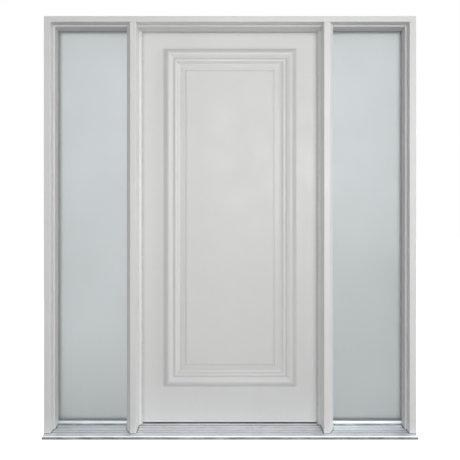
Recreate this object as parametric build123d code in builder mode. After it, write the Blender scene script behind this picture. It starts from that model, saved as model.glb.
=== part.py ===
from build123d import *
import os
from math import radians, tan

os.makedirs("parts", exist_ok=True)

# Entrance door unit with a frosted light on each side, in millimetres.
# X runs across the door, Y from the outdoor side (front, y = 0) to the indoor side, Z up.
# The origin is on the flat underside of the sill, in the middle, below the frame's front face.

# Door leaf
leaf_width = 914
leaf_height = 2013
leaf_thickness = 45
leaf_gap = 5
skin_thickness = 1
stile_width = 32
rail_height = 40
lock_bevel_angle = 3

# Frame
frame_depth = 167
jamb_face = 32
head_face = 28
nose_depth = 45
jamb_step = 7
stop_lap = 12
mullion_width = 67
mullion_nose = 30
mullion_nose_side = 5
mullion_door_step = 14
edge_round = 2.5

# Side lights
light_width = 362
pane_thickness = 4
pane_space = 16
pane_clearance = 2
gasket_size = 2
bead_depth = 18
bead_round = 7

# Sill
sill_front = 32
sill_nose_height = 17
deck_rise = 8
deck_thickness = 4
deck_groove_width = 4
deck_groove_depth = 2.6
deck_groove_count = 4
deck_front_land = 12
rib_radius = 1.8
seat_clearance = 0.1
cap_height = 5
cap_recess = 4
cap_round = 3
leaf_to_cap = 9.5
sweep_base = 2
sweep_fin = 2.5
sweep_fin_count = 4
light_rail_top = 46
light_rail_front = 14

# Door seal
seal_thickness = 9
seal_proud = 2
seal_round = 2.5

# Panel moulding
moulding_side_margin = 113
moulding_top_margin = 90
moulding_bottom_margin = 177
panel_thickness = 9
panel_gap = 1
panel_round = 1.5

# Hinges
hinge_height = 100
hinge_plate = 2.5
hinge_plate_width = 36
barrel_radius = 6
barrel_clearance = 0.5
pin_radius = 3
pin_clearance = 0.1
pin_head_radius = 4.6
pin_tip_radius = 2.3
pin_head_height = 3
knuckle_count = 5
knuckle_gap = 0.5
hinge_top_margin = 180
hinge_bottom_margin = 250

# Heights that follow from the sizes above
deck_back = sill_nose_height + deck_rise
cap_seat = deck_back - cap_recess
cap_top = cap_seat + cap_height
leaf_bottom = cap_top + leaf_to_cap
leaf_top = leaf_bottom + leaf_height
rabbet_top = leaf_top + leaf_gap
stop_bottom = rabbet_top - stop_lap
head_nose_bottom = stop_bottom + jamb_step
frame_top = head_nose_bottom + head_face

# Depths
leaf_front = frame_depth - leaf_thickness
stop_back = leaf_front - leaf_gap - seal_thickness
pane_outer_back = stop_back + pane_thickness
pane_inner_front = pane_outer_back + pane_space
pane_inner_back = pane_inner_front + pane_thickness
bead_back = pane_inner_back + bead_depth
light_rail_y = stop_back - light_rail_front

# Places across the door, from the middle outwards
leaf_edge = leaf_width / 2
door_rabbet = leaf_edge + leaf_gap
door_stop = door_rabbet - stop_lap
mullion_nose_inner = door_stop + mullion_door_step
mullion_nose_outer = mullion_nose_inner + mullion_nose
light_inner = door_stop + mullion_width
light_outer = light_inner + light_width
light_middle = (light_inner + light_outer) / 2
jamb_nose_inner = light_outer + jamb_step
frame_edge = jamb_nose_inner + jamb_face
light_rabbet_inner = light_inner - stop_lap
light_rabbet_outer = light_outer + stop_lap

LEFT = -1
RIGHT = 1
SIDES = {"left": LEFT, "right": RIGHT}

finished = {}


def keep(part, label):
    """Label a finished piece and write its file."""
    part.label = label
    export_step(part, f"parts/{label}.step")
    finished[label] = part


def box_between(low, high, mode=Mode.ADD):
    """A block from its lowest to its highest corner."""
    size = [b - a for a, b in zip(low, high)]
    middle = [(a + b) / 2 for a, b in zip(low, high)]
    with Locations(Location(tuple(middle))):
        Box(*size, mode=mode)


# Sill: an aluminium deck with grooved lands, folded down at the front over a solid base.
# Behind the stops it steps down, and the threshold cap is let in there.
last_groove = light_rail_y - deck_groove_width / 2
groove_pitch = (last_groove - deck_front_land) / (deck_groove_count - 1)
deck_slope = deck_rise / stop_back
step_front = stop_back - deck_thickness
step_height = deck_back - deck_slope * deck_thickness


def deck_height(y):
    """Height of the deck's walking surface at a depth."""
    return sill_nose_height + max(0.0, min(y, stop_back)) * deck_slope


with BuildPart() as sill:
    with BuildSketch(Plane.YZ.offset(-frame_edge)):
        with BuildLine():
            Polyline(
                (-sill_front, 0),
                (-sill_front, sill_nose_height),
                (0, sill_nose_height),
                (stop_back, deck_back),
                (stop_back, cap_seat),
                (frame_depth, cap_seat),
                (frame_depth, cap_seat - deck_thickness),
                (step_front, cap_seat - deck_thickness),
                (step_front, step_height - deck_thickness),
                (0, sill_nose_height - deck_thickness),
                (deck_thickness - sill_front, sill_nose_height - deck_thickness),
                (deck_thickness - sill_front, 0),
                close=True,
            )
        make_face()
        for groove in range(deck_groove_count):
            groove_y = deck_front_land + groove * groove_pitch
            groove_z = deck_height(groove_y)
            with Locations((groove_y, groove_z)):
                Rectangle(deck_groove_width, 2 * deck_groove_depth, mode=Mode.SUBTRACT)
            if groove < deck_groove_count - 1:
                rib_y = groove_y + deck_groove_width / 2 + rib_radius
                with Locations((rib_y, deck_height(rib_y) - rib_radius / 2)):
                    Circle(rib_radius)
    extrude(amount=2 * frame_edge)
    nose_edges = sill.edges().filter_by(Axis.X).group_by(Axis.Y)[0].sort_by(Axis.Z)
    fillet(nose_edges[-1], deck_thickness / 2)
keep(sill.part, "sill")

with BuildPart() as sill_base:
    with BuildSketch(Plane.YZ.offset(-frame_edge)):
        with BuildLine():
            Polyline(
                (deck_thickness - sill_front, 0),
                (deck_thickness - sill_front, sill_nose_height - deck_thickness),
                (0, sill_nose_height - deck_thickness),
                (step_front, step_height - deck_thickness),
                (step_front, cap_seat - deck_thickness),
                (frame_depth, cap_seat - deck_thickness),
                (frame_depth, 0),
                close=True,
            )
        make_face()
    extrude(amount=2 * frame_edge)
keep(sill_base.part, "sill_base")

with BuildPart() as threshold_cap:
    with BuildSketch(Plane.YZ.offset(-door_rabbet)):
        with BuildLine():
            Polyline(
                (stop_back, cap_seat),
                (stop_back, cap_top),
                (frame_depth, cap_top),
                (frame_depth, cap_seat),
                close=True,
            )
        make_face()
    extrude(amount=2 * door_rabbet)
    cap_edges = threshold_cap.edges().filter_by(Axis.X).group_by(Axis.Z)[-1].sort_by(Axis.Y)
    fillet(cap_edges[0], cap_round)
keep(threshold_cap.part, "threshold_cap")


# Everything that stands on the sill is cut to this outline, which the ribs' tops touch
seat_margin = edge_round
rib_top = rib_radius / 2 + seat_clearance
with BuildPart() as sill_seat:
    with BuildSketch(Plane.YZ.offset(-frame_edge - seat_margin)):
        with BuildLine():
            Polyline(
                (-sill_front, -sill_nose_height),
                (-sill_front, deck_height(0) + rib_top),
                (0, deck_height(0) + rib_top),
                (light_rail_y, deck_height(light_rail_y) + rib_top),
                (light_rail_y, deck_height(light_rail_y)),
                (stop_back, deck_back),
                (stop_back, cap_seat),
                (frame_depth + seat_margin, cap_seat),
                (frame_depth + seat_margin, -sill_nose_height),
                close=True,
            )
        make_face()
    extrude(amount=2 * (frame_edge + seat_margin))


# Head: one length across the whole unit, nose, stop and rabbet in one section
with BuildPart() as head:
    with BuildSketch(Plane.YZ.offset(-frame_edge)) as head_section:
        with BuildLine():
            Polyline(
                (0, frame_top),
                (0, head_nose_bottom),
                (nose_depth, head_nose_bottom),
                (nose_depth, stop_bottom),
                (stop_back, stop_bottom),
                (stop_back, rabbet_top),
                (frame_depth, rabbet_top),
                (frame_depth, frame_top),
                close=True,
            )
        make_face()
        for corner_y, corner_z in ((0, head_nose_bottom), (nose_depth, stop_bottom)):
            corner = head_section.vertices().sort_by_distance((corner_y, corner_z, 0))[0]
            fillet(corner, edge_round)
    extrude(amount=2 * frame_edge)
keep(head.part, "head")


# The tops of the uprights are coped to the head's section
with BuildPart() as head_seat:
    with BuildSketch(Plane.YZ.offset(-frame_edge - seat_margin)):
        with BuildLine():
            Polyline(
                (-seat_margin, rabbet_top + seat_margin),
                (-seat_margin, head_nose_bottom),
                (nose_depth, head_nose_bottom),
                (nose_depth, stop_bottom),
                (stop_back, stop_bottom),
                (stop_back, rabbet_top),
                (frame_depth + seat_margin, rabbet_top),
                (frame_depth + seat_margin, rabbet_top + seat_margin),
                close=True,
            )
        make_face()
    extrude(amount=2 * (frame_edge + seat_margin))


def upright(outline, soft_corners):
    """A post extruded from its plan outline, coped to the head and to the sill."""
    with BuildPart() as post:
        with BuildSketch(Plane.XY) as plan:
            with BuildLine():
                Polyline(*outline, close=True)
            make_face()
            for corner_x, corner_y in soft_corners:
                corner = plan.vertices().sort_by_distance((corner_x, corner_y, 0))[0]
                fillet(corner, edge_round)
        extrude(amount=rabbet_top)
        add(head_seat.part, mode=Mode.SUBTRACT)
        add(sill_seat.part, mode=Mode.SUBTRACT)
    return post.part


def make_jamb(side):
    """Outer jamb: face, nose, stop and glass rabbet."""
    outline = [
        (side * frame_edge, 0),
        (side * jamb_nose_inner, 0),
        (side * jamb_nose_inner, nose_depth),
        (side * light_outer, nose_depth),
        (side * light_outer, stop_back),
        (side * light_rabbet_outer, stop_back),
        (side * light_rabbet_outer, frame_depth),
        (side * frame_edge, frame_depth),
    ]
    return upright(outline, [outline[1], outline[3]])


def make_mullion(side):
    """Post between the door and a side light: a narrow nose, splayed out to the light and the stop."""
    outline = [
        (side * mullion_nose_inner, 0),
        (side * mullion_nose_outer, 0),
        (side * mullion_nose_outer, mullion_nose_side),
        (side * light_inner, nose_depth),
        (side * light_inner, stop_back),
        (side * light_rabbet_inner, stop_back),
        (side * light_rabbet_inner, frame_depth),
        (side * door_rabbet, frame_depth),
        (side * door_rabbet, stop_back),
        (side * door_stop, stop_back),
        (side * mullion_nose_inner, stop_back - mullion_door_step),
    ]
    return upright(outline, [outline[0], outline[1], outline[9]])


# Hinge places: the barrels stand on the indoor side, on the left as seen from outside
hinge_x = -(leaf_edge + leaf_gap / 2)
hinge_y = frame_depth + barrel_radius + barrel_clearance
hinge_middle = (leaf_top - hinge_top_margin + leaf_bottom + hinge_bottom_margin) / 2
hinges = {
    "top": leaf_top - hinge_top_margin,
    "middle": hinge_middle,
    "bottom": leaf_bottom + hinge_bottom_margin,
}
knuckle_length = hinge_height / knuckle_count


def cut_hinge_pockets(inner_x, outer_x):
    """Cut a mortise as deep as a hinge plate at each hinge."""
    for middle_z in hinges.values():
        box_between(
            (min(inner_x, outer_x), frame_depth - hinge_plate_width, middle_z - hinge_height / 2),
            (max(inner_x, outer_x), frame_depth + barrel_radius, middle_z + hinge_height / 2),
            mode=Mode.SUBTRACT,
        )


for side_name, side in SIDES.items():
    keep(make_jamb(side), f"jamb_{side_name}")

with BuildPart() as mullion_left:
    add(make_mullion(LEFT))
    cut_hinge_pockets(-door_rabbet - hinge_plate, -door_rabbet)
keep(mullion_left.part, "mullion_left")

with BuildPart() as mullion_right:
    add(make_mullion(RIGHT))
keep(mullion_right.part, "mullion_right")


# Side lights: bottom rail, sealed double panes, outdoor gasket and indoor beads
def light_block(side, inner, outer, low_y, high_y, low_z, high_z):
    """A block inside one side light, given from the door side outwards."""
    low_x, high_x = sorted((side * inner, side * outer))
    box_between((low_x, low_y, low_z), (high_x, high_y, high_z))


def make_light_rail(side):
    """Bottom rail of a side light: a stop in front of the glass and a seat below it."""
    glass_seat = light_rail_top - stop_lap
    with BuildPart() as rail:
        light_block(side, light_inner, light_outer, light_rail_y, stop_back, 0, light_rail_top)
        front_top = rail.edges().filter_by(Axis.X).group_by(Axis.Y)[0].sort_by(Axis.Z)[-1]
        fillet(front_top, edge_round)
        light_block(
            side, light_rabbet_inner, light_rabbet_outer, stop_back, frame_depth, 0, glass_seat
        )
        add(sill_seat.part, mode=Mode.SUBTRACT)
    return rail.part


def make_pane(side, low_y, high_y):
    """One pane of the sealed unit."""
    with BuildPart() as pane:
        light_block(
            side,
            light_rabbet_inner + pane_clearance,
            light_rabbet_outer - pane_clearance,
            low_y,
            high_y,
            light_rail_top - stop_lap,
            rabbet_top - pane_clearance,
        )
    return pane.part


def make_spacer(side):
    """Hollow frame between the two panes, as wide as the glazing rebate hides."""
    spacer_width = stop_lap - pane_clearance
    pane_width = light_width + 2 * spacer_width
    pane_low = light_rail_top - stop_lap
    pane_high = rabbet_top - pane_clearance
    pane_height = pane_high - pane_low
    with BuildPart() as spacer:
        with BuildSketch(Plane.XZ.offset(-pane_outer_back)):
            with Locations((side * light_middle, (pane_low + pane_high) / 2)):
                Rectangle(pane_width, pane_height)
                Rectangle(
                    pane_width - 2 * spacer_width,
                    pane_height - 2 * spacer_width,
                    mode=Mode.SUBTRACT,
                )
        extrude(amount=-pane_space)
    return spacer.part


def make_gasket(side):
    """Rubber line around the glass on the outdoor side, inside the edge of the stops."""
    gasket_height = stop_bottom - light_rail_top
    gasket_middle = (stop_bottom + light_rail_top) / 2
    with BuildPart() as gasket:
        with BuildSketch(Plane.XZ.offset(gasket_size - stop_back)):
            with Locations((side * light_middle, gasket_middle)):
                Rectangle(light_width, gasket_height)
                Rectangle(
                    light_width - 2 * gasket_size,
                    gasket_height - 2 * gasket_size,
                    mode=Mode.SUBTRACT,
                )
        extrude(amount=-gasket_size)
        inner_edges = gasket.faces().sort_by(Axis.Y)[0].inner_wires()[0].edges()
        fillet(inner_edges, gasket_size / 2)
    return gasket.part


def make_side_beads(side):
    """The two upright indoor beads of a side light, rounded towards the glass."""
    with BuildPart() as beads:
        for seat, edge, corner in (
            (light_rabbet_inner, light_inner, light_inner),
            (light_rabbet_outer, light_outer, light_outer),
        ):
            light_block(
                side,
                min(seat, edge),
                max(seat, edge),
                pane_inner_back,
                bead_back,
                light_rail_top - stop_lap,
                rabbet_top,
            )
            round_edge = beads.edges().filter_by(Axis.Z).sort_by_distance(
                (side * corner, bead_back, leaf_top / 2)
            )[0]
            fillet(round_edge, bead_round)
    return beads.part


def make_end_beads(side):
    """The bottom and top indoor beads, between the upright ones."""
    with BuildPart() as beads:
        for low_z, high_z, corner in (
            (light_rail_top - stop_lap, light_rail_top, light_rail_top),
            (stop_bottom, rabbet_top, stop_bottom),
        ):
            light_block(side, light_inner, light_outer, pane_inner_back, bead_back, low_z, high_z)
            round_edge = beads.edges().filter_by(Axis.X).sort_by_distance(
                (side * light_middle, bead_back, corner)
            )[0]
            fillet(round_edge, bead_round)
    return beads.part


for side_name, side in SIDES.items():
    keep(make_light_rail(side), f"light_rail_{side_name}")
    keep(make_pane(side, stop_back, pane_outer_back), f"pane_outer_{side_name}")
    keep(make_pane(side, pane_inner_front, pane_inner_back), f"pane_inner_{side_name}")
    keep(make_spacer(side), f"spacer_{side_name}")
    keep(make_gasket(side), f"gasket_{side_name}")
    keep(make_side_beads(side), f"bead_sides_{side_name}")
    keep(make_end_beads(side), f"bead_ends_{side_name}")


# Door seals: soft strips behind the stops, a little proud of them
seal_inner = door_stop - seal_proud
seal_top = stop_bottom - seal_proud


def make_side_seal(side):
    """Seal behind a mullion's stop, from the threshold to the head seal."""
    low_x, high_x = sorted((side * seal_inner, side * door_rabbet))
    with BuildPart() as seal:
        box_between((low_x, stop_back, cap_top), (high_x, stop_back + seal_thickness, seal_top))
        lip = seal.edges().filter_by(Axis.Z).sort_by_distance(
            (side * seal_inner, stop_back + seal_thickness, leaf_top / 2)
        )[0]
        fillet(lip, seal_round)
    return seal.part


for side_name, side in SIDES.items():
    keep(make_side_seal(side), f"seal_{side_name}")

with BuildPart() as seal_head:
    box_between(
        (-door_rabbet, stop_back, seal_top),
        (door_rabbet, stop_back + seal_thickness, rabbet_top),
    )
    head_lip = seal_head.edges().filter_by(Axis.X).sort_by_distance(
        (0, stop_back + seal_thickness, seal_top)
    )[0]
    fillet(head_lip, seal_round)
keep(seal_head.part, "seal_head")


# Door leaf: stiles and rails round a core, between two skins
# The lock edge leans back by the bevel, so that its outdoor corner clears the post
bevel = tan(radians(lock_bevel_angle))


def lock_edge(y):
    """Where the bevelled lock edge stands at a depth."""
    return leaf_edge - (frame_depth - y) * bevel


def leaf_slab(low_y, high_y, low_x=-leaf_edge, low_z=leaf_bottom, high_z=leaf_top):
    """A layer of the leaf that ends at the bevelled lock edge."""
    with BuildSketch(Plane.XY.offset(low_z)) as plan:
        with BuildLine():
            Polyline(
                (low_x, low_y),
                (low_x, high_y),
                (lock_edge(high_y), high_y),
                (lock_edge(low_y), low_y),
                close=True,
            )
        make_face()
    extrude(plan.sketch, amount=high_z - low_z)


core_front = leaf_front + skin_thickness
core_back = frame_depth - skin_thickness
stile_inner = leaf_edge - stile_width

# The skins hang as low as the sweep's fins, so that they hide the sweep
skin_low = leaf_bottom - sweep_base - sweep_fin

with BuildPart() as skin_outer:
    leaf_slab(leaf_front, core_front, low_z=skin_low)
keep(skin_outer.part, "skin_outer")

with BuildPart() as skin_inner:
    leaf_slab(core_back, frame_depth, low_z=skin_low)
    cut_hinge_pockets(-leaf_edge, hinge_plate - leaf_edge)
keep(skin_inner.part, "skin_inner")

with BuildPart() as stile_hinge:
    box_between((-leaf_edge, core_front, leaf_bottom), (-stile_inner, core_back, leaf_top))
    cut_hinge_pockets(-leaf_edge, hinge_plate - leaf_edge)
keep(stile_hinge.part, "stile_hinge")

with BuildPart() as stile_lock:
    leaf_slab(core_front, core_back, low_x=stile_inner)
keep(stile_lock.part, "stile_lock")

for rail_name, low_z in (("bottom", leaf_bottom), ("top", leaf_top - rail_height)):
    with BuildPart() as rail:
        box_between(
            (-stile_inner, core_front, low_z), (stile_inner, core_back, low_z + rail_height)
        )
    keep(rail.part, f"rail_{rail_name}")

with BuildPart() as core:
    box_between(
        (-stile_inner, core_front, leaf_bottom + rail_height),
        (stile_inner, core_back, leaf_top - rail_height),
    )
keep(core.part, "core")

with BuildPart() as sweep_strip:
    sweep_low = leaf_bottom - sweep_base
    box_between((-stile_inner, core_front, sweep_low), (stile_inner, core_back, leaf_bottom))
    fin_pitch = (core_back - core_front) / sweep_fin_count
    for fin in range(sweep_fin_count):
        fin_y = core_front + fin * fin_pitch + fin_pitch / 2
        with BuildSketch(Plane.YZ.offset(-stile_inner)):
            with BuildLine():
                Polyline(
                    (fin_y - sweep_fin, sweep_low),
                    (fin_y + sweep_fin, sweep_low),
                    (fin_y, sweep_low - sweep_fin),
                    close=True,
                )
            make_face()
        extrude(amount=2 * stile_inner)
keep(sweep_strip.part, "bottom_sweep")


# Panel moulding: one section swept round the panel with mitred corners.
# Widths run in from the outer edge, heights stand off the leaf's face.
lip_height = 1.5
lip_width = 1.5
splay_width = 22
splay_height = 20
crown_end = 40
crown_height = 22.5
crown_foot = 20
slope_end = 56.5
slope_foot = 12
riser_width = 1.5
bead_height = 15
bead_crown = 16
bead_foot = 13.5
bead_end = 73
quirk_width = 2
quirk_height = 9
hollow_end = 92
hollow_middle = 82.5
hollow_deep = 4.8
hollow_foot = 3.5
first_step_height = 5.5
first_step_end = 104.5
second_step_height = 7
moulding_width = 117

moulding_low = leaf_bottom + moulding_bottom_margin
moulding_high = leaf_top - moulding_top_margin
moulding_half = leaf_edge - moulding_side_margin


def moulding_section():
    """Outline of the moulding: splay, crown, slope, bead, hollow and two flat steps."""
    bead_start = slope_end + riser_width
    hollow_start = bead_end + quirk_width
    first_step = hollow_end + riser_width
    second_step = first_step_end + riser_width
    Line((0, 0), (0, lip_height))
    Line((0, lip_height), (lip_width, lip_height))
    Line((lip_width, lip_height), (splay_width, splay_height))
    ThreePointArc(
        (splay_width, splay_height),
        ((splay_width + crown_end) / 2, crown_height),
        (crown_end, crown_foot),
    )
    Line((crown_end, crown_foot), (slope_end, slope_foot))
    Line((slope_end, slope_foot), (bead_start, bead_height))
    ThreePointArc(
        (bead_start, bead_height), ((bead_start + bead_end) / 2, bead_crown), (bead_end, bead_foot)
    )
    Line((bead_end, bead_foot), (hollow_start, quirk_height))
    ThreePointArc(
        (hollow_start, quirk_height), (hollow_middle, hollow_deep), (hollow_end, hollow_foot)
    )
    Line((hollow_end, hollow_foot), (first_step, first_step_height))
    Line((first_step, first_step_height), (first_step_end, first_step_height))
    Line((first_step_end, first_step_height), (second_step, second_step_height))
    Line((second_step, second_step_height), (moulding_width, second_step_height))
    Line((moulding_width, second_step_height), (moulding_width, 0))
    Line((moulding_width, 0), (0, 0))


def make_moulding(face_y, outward):
    """Moulding on one face of the leaf; outward is -1 outdoors and 1 indoors."""
    low_corner = (0, face_y, moulding_low)
    section_plane = Plane(origin=low_corner, x_dir=(0, 0, 1), z_dir=(-outward, 0, 0))
    with BuildPart() as moulding:
        with BuildLine() as path:
            Polyline(
                low_corner,
                (moulding_half, face_y, moulding_low),
                (moulding_half, face_y, moulding_high),
                (-moulding_half, face_y, moulding_high),
                (-moulding_half, face_y, moulding_low),
                close=True,
            )
        with BuildSketch(section_plane) as section:
            with BuildLine():
                moulding_section()
            make_face()
        sweep(path=path.wires()[0], transition=Transition.RIGHT)
    return moulding.part


def make_panel(face_y, outward):
    """Flat raised panel inside the moulding, with softened edges."""
    inset = moulding_width + panel_gap
    half = moulding_half - inset
    far_y = face_y + outward * panel_thickness
    low_y, high_y = sorted((face_y, far_y))
    with BuildPart() as panel:
        box_between((-half, low_y, moulding_low + inset), (half, high_y, moulding_high - inset))
        rim = panel.faces().sort_by_distance((0, far_y, (moulding_low + moulding_high) / 2))[0]
        fillet(rim.edges(), panel_round)
    return panel.part


for face_name, face_y, outward in (("outer", leaf_front, -1), ("inner", frame_depth, 1)):
    keep(make_moulding(face_y, outward), f"moulding_{face_name}")
    keep(make_panel(face_y, outward), f"panel_{face_name}")


# Hinges: plates let into the mullion and the leaf's edge, knuckles in turn along one pin
def make_hinge_half(middle_z, plate_x, knuckles):
    """One hinge plate with its knuckles, plate_x being its lowest and highest x."""
    low_z = middle_z - hinge_height / 2
    with BuildPart() as half:
        box_between(
            (plate_x[0], frame_depth - hinge_plate_width, low_z),
            (plate_x[1], frame_depth, low_z + hinge_height),
        )
        for knuckle in knuckles:
            knuckle_low = low_z + knuckle * knuckle_length + knuckle_gap / 2
            knuckle_high = knuckle_low + knuckle_length - knuckle_gap
            box_between(
                (plate_x[0], frame_depth, knuckle_low), (plate_x[1], hinge_y, knuckle_high)
            )
            with BuildSketch(Plane.XY.offset(knuckle_low)):
                with Locations((hinge_x, hinge_y)):
                    Circle(barrel_radius)
            extrude(amount=knuckle_high - knuckle_low)
        with BuildSketch(Plane.XY.offset(low_z)):
            with Locations((hinge_x, hinge_y)):
                Circle(pin_radius + pin_clearance)
        extrude(amount=hinge_height, mode=Mode.SUBTRACT)
    return half.part


frame_plate = (-door_rabbet - hinge_plate, -door_rabbet)
leaf_plate = (-leaf_edge, hinge_plate - leaf_edge)
for hinge_name, middle_z in hinges.items():
    keep(make_hinge_half(middle_z, frame_plate, range(0, knuckle_count, 2)),
         f"hinge_{hinge_name}_frame")
    keep(make_hinge_half(middle_z, leaf_plate, range(1, knuckle_count, 2)),
         f"hinge_{hinge_name}_leaf")

with BuildPart() as hinge_pins:
    for middle_z in hinges.values():
        pin_low = middle_z - hinge_height / 2
        pin_high = middle_z + hinge_height / 2
        with BuildSketch(Plane.XZ.offset(-hinge_y)):
            with BuildLine():
                Polyline(
                    (hinge_x, pin_low - pin_head_height),
                    (hinge_x + pin_tip_radius, pin_low - pin_head_height),
                    (hinge_x + pin_head_radius, pin_low),
                    (hinge_x + pin_radius, pin_low),
                    (hinge_x + pin_radius, pin_high),
                    (hinge_x + pin_head_radius, pin_high),
                    (hinge_x + pin_tip_radius, pin_high + pin_head_height),
                    (hinge_x, pin_high + pin_head_height),
                    close=True,
                )
            make_face()
        revolve(axis=Axis((hinge_x, hinge_y, 0), (0, 0, 1)))
keep(hinge_pins.part, "hinge_pins")

print(f"{len(finished)} pieces, {2 * frame_edge:.0f} wide, {frame_top:.0f} high, {frame_depth} deep")
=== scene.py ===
# %% [markdown]
# # An entrance door with two frosted side lights
#
# The real object is one factory-made unit: a flat steel-faced leaf with a raised moulding
# round a long panel, hung between two posts, with a narrow frosted window on each side,
# all standing on one ribbed aluminium sill.
#
# The CAD model already holds every solid at its true size. This script gives the solids
# their finishes, adds the small things a fitter would see close up, the screws and the
# sealant, and sets the studio round them.

import bmesh
import bpy
import math
from mathutils import Matrix, Vector


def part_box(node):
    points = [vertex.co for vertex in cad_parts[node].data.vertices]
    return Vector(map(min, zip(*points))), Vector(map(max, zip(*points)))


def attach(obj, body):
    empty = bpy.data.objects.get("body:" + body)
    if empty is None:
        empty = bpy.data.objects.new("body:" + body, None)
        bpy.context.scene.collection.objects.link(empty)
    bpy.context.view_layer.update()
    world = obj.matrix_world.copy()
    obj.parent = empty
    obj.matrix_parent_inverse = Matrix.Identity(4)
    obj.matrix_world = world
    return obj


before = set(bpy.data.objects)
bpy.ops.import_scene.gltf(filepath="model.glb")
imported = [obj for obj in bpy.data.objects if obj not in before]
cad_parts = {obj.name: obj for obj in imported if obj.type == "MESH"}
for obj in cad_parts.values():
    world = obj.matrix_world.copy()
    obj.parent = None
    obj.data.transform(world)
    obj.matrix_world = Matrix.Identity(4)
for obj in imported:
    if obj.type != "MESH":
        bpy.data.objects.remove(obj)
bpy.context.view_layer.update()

# %% [markdown]
# ## The camera comes first
#
# The photograph looks straight at the middle of the door, level, from about two and a half
# metres. Its height follows from which faces show: the head's underside and the sill's top
# are both seen, so the eye is near half the door's height.

# %% Set the camera
EYE = Vector((0.0, -2.638, 1.0215))
SENSOR_WIDTH = 36.0
LENS = 41.87
FAR_CLIP = 60.0
camera_data = bpy.data.cameras.new("eye")
camera_data.sensor_width = SENSOR_WIDTH
camera_data.lens = LENS
camera_data.clip_end = FAR_CLIP
camera = bpy.data.objects.new("eye", camera_data)
camera.location = EYE
camera.rotation_euler = (math.radians(90.0), 0.0, 0.0)
bpy.context.scene.collection.objects.link(camera)
bpy.context.scene.camera = camera
print("eye at", tuple(EYE))

# %% [markdown]
# ## A plain studio
#
# Pale paint shows its shape only by shade, so the light has to differ from side to side.
# Two broad lamps stand behind the camera, one just above the door's top and one at chest
# height: together they make the upper part of the door a shade brighter than its foot.
# Neither is much higher than the head, so the head throws only a short shadow.
# A strong lamp out to the right and a weaker one to the left graze the front but fill the
# faces that look sideways. The room adds a low even level, and a lamp behind keeps the
# indoor side readable. No front or back lamp is seen through the glass, and the back one
# isn't mirrored, so the panes stay evenly pale from both sides.

# %% Colour view and the room
scene = bpy.context.scene
scene.view_settings.view_transform = "Standard"

ROOM_LEVEL = 0.16
room = bpy.data.worlds.new("room")
scene.world = room
room.use_nodes = True
sky = room.node_tree
background = sky.nodes["Background"]
background.inputs["Color"].default_value = (1.0, 1.0, 1.0, 1.0)
seen_by = sky.nodes.new("ShaderNodeLightPath")
camera_or_gloss = sky.nodes.new("ShaderNodeMath")
camera_or_gloss.operation = "MAXIMUM"
or_through_glass = sky.nodes.new("ShaderNodeMath")
or_through_glass.operation = "MAXIMUM"
level = sky.nodes.new("ShaderNodeMix")
level.inputs["A"].default_value = ROOM_LEVEL
level.inputs["B"].default_value = 1.0
sky.links.new(seen_by.outputs["Is Camera Ray"], camera_or_gloss.inputs[0])
sky.links.new(seen_by.outputs["Is Glossy Ray"], camera_or_gloss.inputs[1])
sky.links.new(camera_or_gloss.outputs[0], or_through_glass.inputs[0])
sky.links.new(seen_by.outputs["Is Transmission Ray"], or_through_glass.inputs[1])
sky.links.new(or_through_glass.outputs[0], level.inputs["Factor"])
sky.links.new(level.outputs["Result"], background.inputs["Strength"])
print("room level", ROOM_LEVEL)


# %% Lamps
def soft_lamp(name, place, aim, width, height, power):
    """A rectangular lamp at a place, turned to face the aim."""
    lamp_data = bpy.data.lights.new(name, "AREA")
    lamp_data.shape = "RECTANGLE"
    lamp_data.size = width
    lamp_data.size_y = height
    lamp_data.energy = power
    lamp = bpy.data.objects.new(name, lamp_data)
    lamp.location = place
    lamp.rotation_euler = (Vector(aim) - Vector(place)).to_track_quat("-Z", "Y").to_euler()
    scene.collection.objects.link(lamp)
    return lamp


high_lamp = soft_lamp(
    "front_high_lamp", (0.5, -3.4, 2.35), aim=(0.0, 0.0, 1.4), width=2.0, height=1.2, power=37.0,
)
chest_lamp = soft_lamp(
    "front_chest_lamp", (0.8, -3.8, 1.5), aim=(0.0, 0.0, 1.2), width=2.0, height=1.4, power=56.0,
)
soft_lamp("right_lamp", (5.2, -0.9, 2.2), aim=(-0.2, 0.0, 1.2), width=1.5, height=2.4, power=123.0)
soft_lamp("left_lamp", (-5.2, -0.9, 1.6), aim=(0.2, 0.0, 1.2), width=1.5, height=2.4, power=44.0)
back_lamp = soft_lamp(
    "back_lamp", (-2.0, 4.8, 2.9), aim=(0.0, 0.1, 1.2), width=2.4, height=2.4, power=200.0,
)
back_lamp.visible_glossy = False
for lamp in (high_lamp, chest_lamp, back_lamp):
    lamp.visible_transmission = False

# %% [markdown]
# ## The floor
#
# The floor is a pale matt sheet. The camera also gets a little light from the sheet itself,
# through Light Path, so that it reads as white paper while it still takes the door's soft
# shadow. Mirrored in metal it is weaker, so that the metal doesn't wash out. Through glass
# it grows with the distance behind the door, because a far floor looks as pale as the sky.
# Nothing of it falls on the paint as light.


# %% Small helpers for node trees
def new_node(tree, kind, **settings):
    """A node with its settings and, by socket name, its plain input values."""
    node = tree.nodes.new(kind)
    for key, value in settings.items():
        if hasattr(node, key):
            setattr(node, key, value)
        else:
            node.inputs[key.replace("_", " ")].default_value = value
    return node


def link(tree, source, target):
    """Joins an output to an input."""
    tree.links.new(source, target)


def own_mesh(name, build):
    """Runs a build function on a new bmesh and returns the finished object."""
    form = bmesh.new()
    build(form)
    bmesh.ops.recalc_face_normals(form, faces=form.faces)
    mesh = bpy.data.meshes.new(name)
    form.to_mesh(mesh)
    form.free()
    piece = bpy.data.objects.new(name, mesh)
    scene.collection.objects.link(piece)
    return piece


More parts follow.
